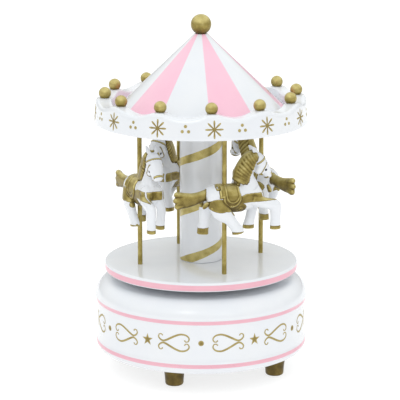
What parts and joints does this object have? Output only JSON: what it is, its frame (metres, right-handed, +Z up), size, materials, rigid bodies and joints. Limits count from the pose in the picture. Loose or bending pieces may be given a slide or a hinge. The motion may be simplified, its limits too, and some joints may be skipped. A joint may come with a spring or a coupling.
{
  "type": "carousel music box",
  "caption": "Wind-up carousel music box: round base with a musical movement, turntable with horses on poles, and a scalloped canopy with a striped conical roof.",
  "frame": {"origin": "on the turning axis at the level of the feet's undersides", "axes": "+Z up along the turning axis; the pictured side faces -Y"},
  "size_m": [0.105, 0.105, 0.1773],
  "materials": {
    "white_shell": "glossy white",
    "pink_roof": "glossy pale pink and white stripes",
    "gold_paint": "antique gold paint with a soft sheen",
    "dark_gold": "dark antique gold paint",
    "grey_cover": "matt moulded grey",
    "nylon": "natural nylon",
    "bright_steel": "nickel-plated",
    "dark_steel": "blued, oiled",
    "brass": "turned brass"
  },
  "bodies": {
    "base": {"base_housing": "white_shell", "bottom_cover": "grey_cover", "foot_1": "dark_gold", "foot_2": "dark_gold", "foot_3": "dark_gold", "foot_4": "dark_gold", "cover_screw_1": "bright_steel", "cover_screw_2": "bright_steel", "cover_screw_3": "bright_steel", "deck_bush": "nylon", "movement_bedplate": "bright_steel", "movement_screw_1": "bright_steel", "movement_screw_2": "bright_steel", "movement_screw_3": "bright_steel", "comb": "bright_steel", "comb_rest": "dark_steel", "comb_screw_1": "bright_steel", "comb_screw_2": "bright_steel", "cylinder_bearing": "dark_steel", "governor_post": "dark_steel", "governor_frame": "dark_steel"},
    "carousel": {"drive_shaft": "bright_steel", "spring_barrel": "brass", "mainspring": "dark_steel", "turntable": "white_shell", "turntable_hub": "nylon", "column": "white_shell", "pole_1": "gold_paint", "pole_2": "gold_paint", "pole_3": "gold_paint", "pole_4": "gold_paint", "horse_1": "white_shell", "horse_2": "white_shell", "horse_3": "white_shell", "horse_4": "white_shell", "canopy_crown": "white_shell", "canopy_roof": "pink_roof", "crown_ball_1": "gold_paint", "crown_ball_2": "gold_paint", "crown_ball_3": "gold_paint", "crown_ball_4": "gold_paint", "crown_ball_5": "gold_paint", "crown_ball_6": "gold_paint", "crown_ball_7": "gold_paint", "crown_ball_8": "gold_paint", "crown_ball_9": "gold_paint", "crown_ball_10": "gold_paint", "crown_ball_11": "gold_paint", "crown_ball_12": "gold_paint", "finial_ball": "gold_paint"},
    "winding": {"winding_key": "bright_steel", "winding_arbor": "bright_steel"},
    "cylinder": {"music_cylinder": "brass", "cylinder_pinion": "nylon", "cylinder_wheel": "nylon"},
    "governor_train": {"governor_wheel": "nylon"},
    "governor": {"governor_worm": "bright_steel", "air_brake_fan": "grey_cover"}
  },
  "joints": [
    {"name": "carousel_spin", "type": "hinge", "parent": "base", "child": "carousel", "pos_m": [0, 0, 0.0467], "axis": [0, 0, 1], "continuous": true},
    {"name": "key_wind", "type": "hinge", "parent": "base", "child": "winding", "pos_m": [0, 0, 0.0112], "axis": [0, 0, 1], "continuous": true},
    {"name": "cylinder_spin", "type": "hinge", "parent": "base", "child": "cylinder", "pos_m": [0.0245, 0, 0.0277], "axis": [1, 0, 0], "continuous": true},
    {"name": "governor_wheel_spin", "type": "hinge", "parent": "base", "child": "governor_train", "pos_m": [0.0355, -0.00975, 0.0277], "axis": [1, 0, 0], "continuous": true},
    {"name": "fan_spin", "type": "hinge", "parent": "base", "child": "governor", "pos_m": [0.03685, -0.0162, 0.0277], "axis": [0, 0, 1], "continuous": true}
  ],
  "couplings": [
    {"joint": "cylinder_spin", "follows": "carousel_spin", "ratio": 3},
    {"joint": "governor_wheel_spin", "follows": "carousel_spin", "ratio": -9},
    {"joint": "fan_spin", "follows": "carousel_spin", "ratio": 216}
  ]
}
